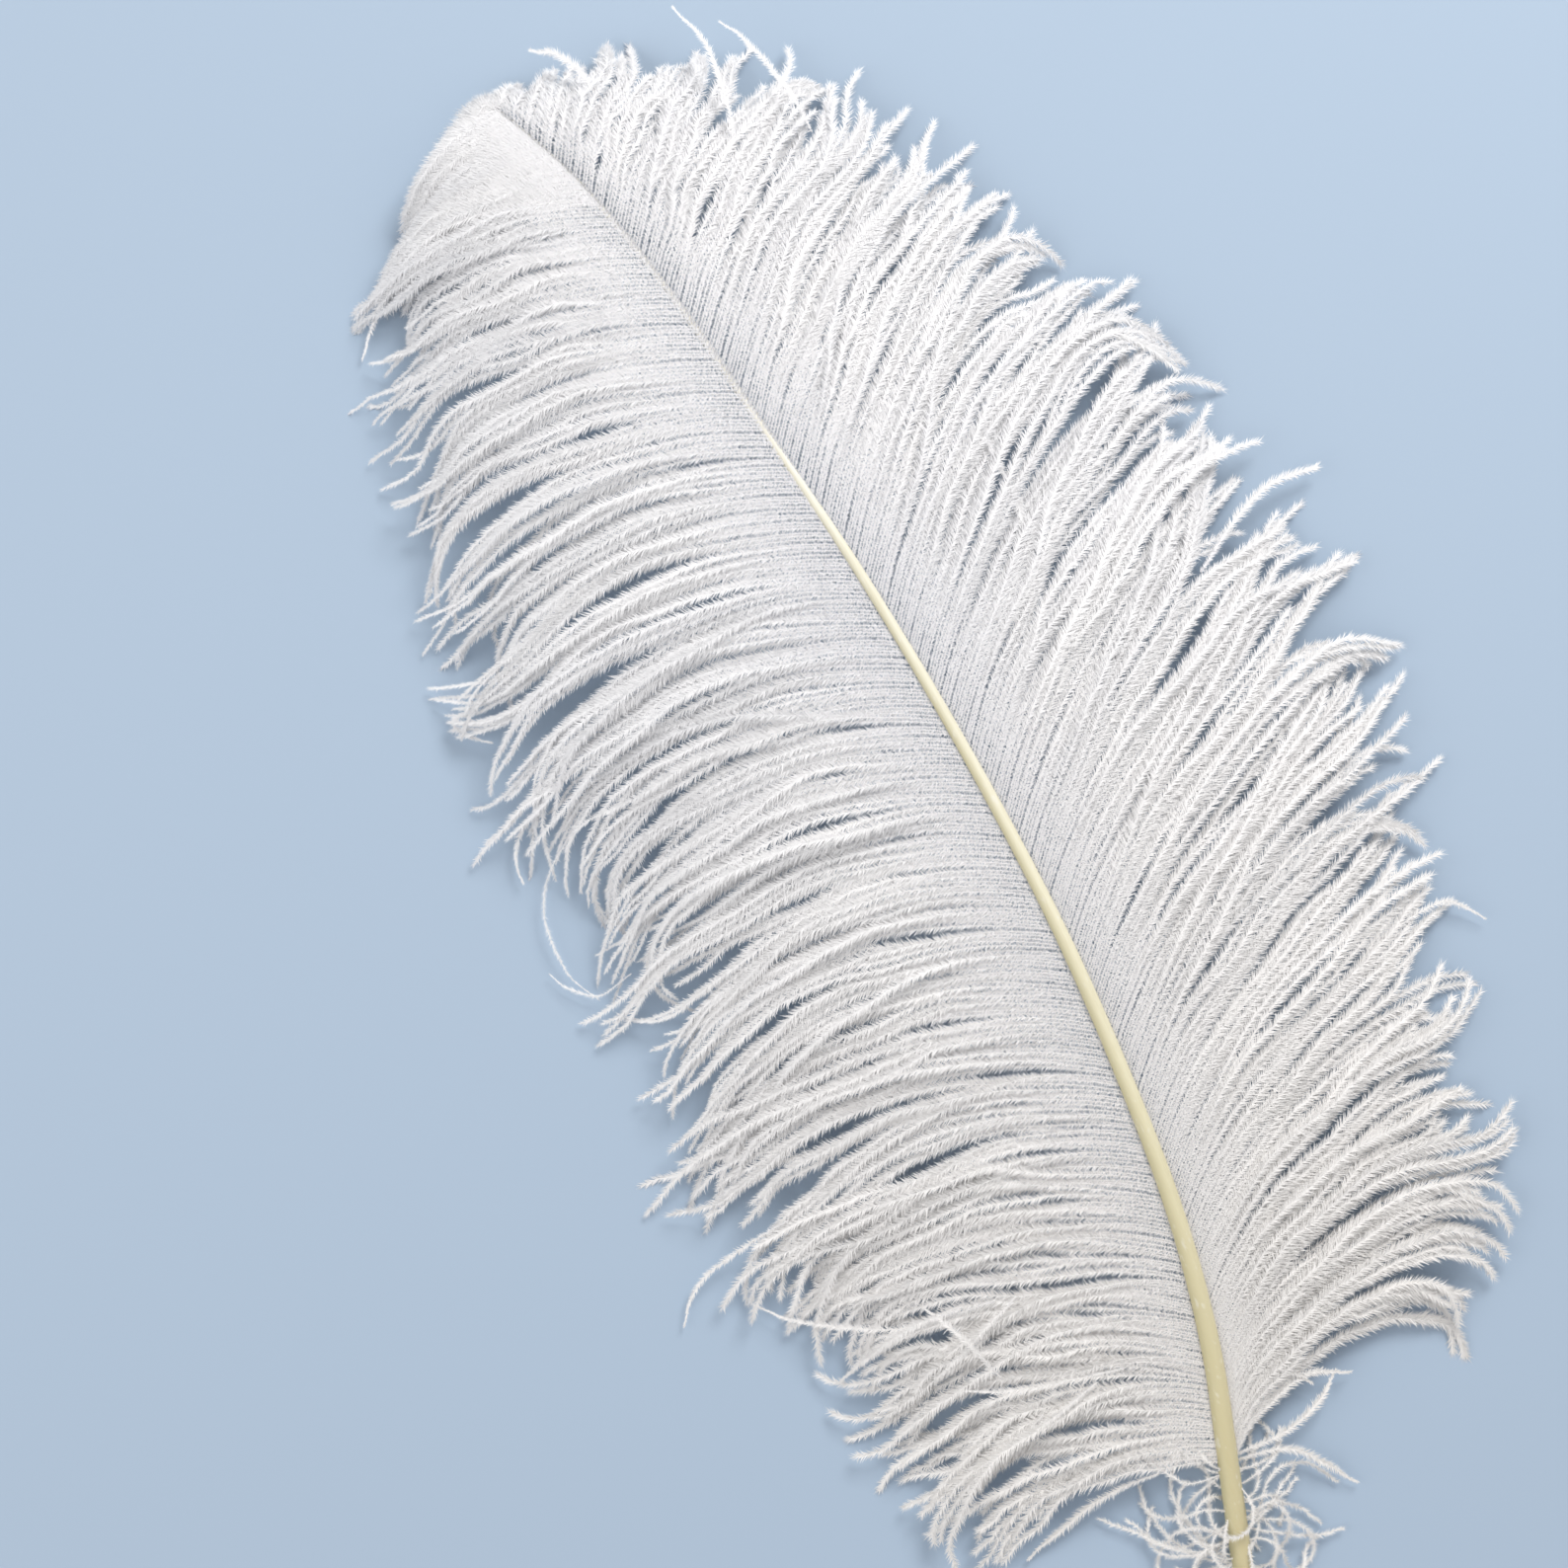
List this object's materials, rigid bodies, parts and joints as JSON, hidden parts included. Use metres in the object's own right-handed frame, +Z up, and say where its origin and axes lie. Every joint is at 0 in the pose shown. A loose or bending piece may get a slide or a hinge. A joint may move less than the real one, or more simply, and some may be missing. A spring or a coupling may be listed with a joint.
{
  "type": "ostrich feather",
  "caption": "White ostrich plume lying flat: a bowed cream shaft with a bare quill, and soft drooping locks of barbs on both sides up to a curled-over head.",
  "frame": {"origin": "on the surface it lies on, under the middle of the plume's box", "axes": "+Z up from the surface, +Y along the plume from the bare quill to the drooping head, +X towards the side that the shaft bows to"},
  "size_m": [0.3409, 0.6529, 0.0472],
  "materials": {
    "barbs": "matte",
    "shaft": "satin"
  },
  "bodies": {
    "root": {"feather": "barbs"}
  },
  "joints": []
}
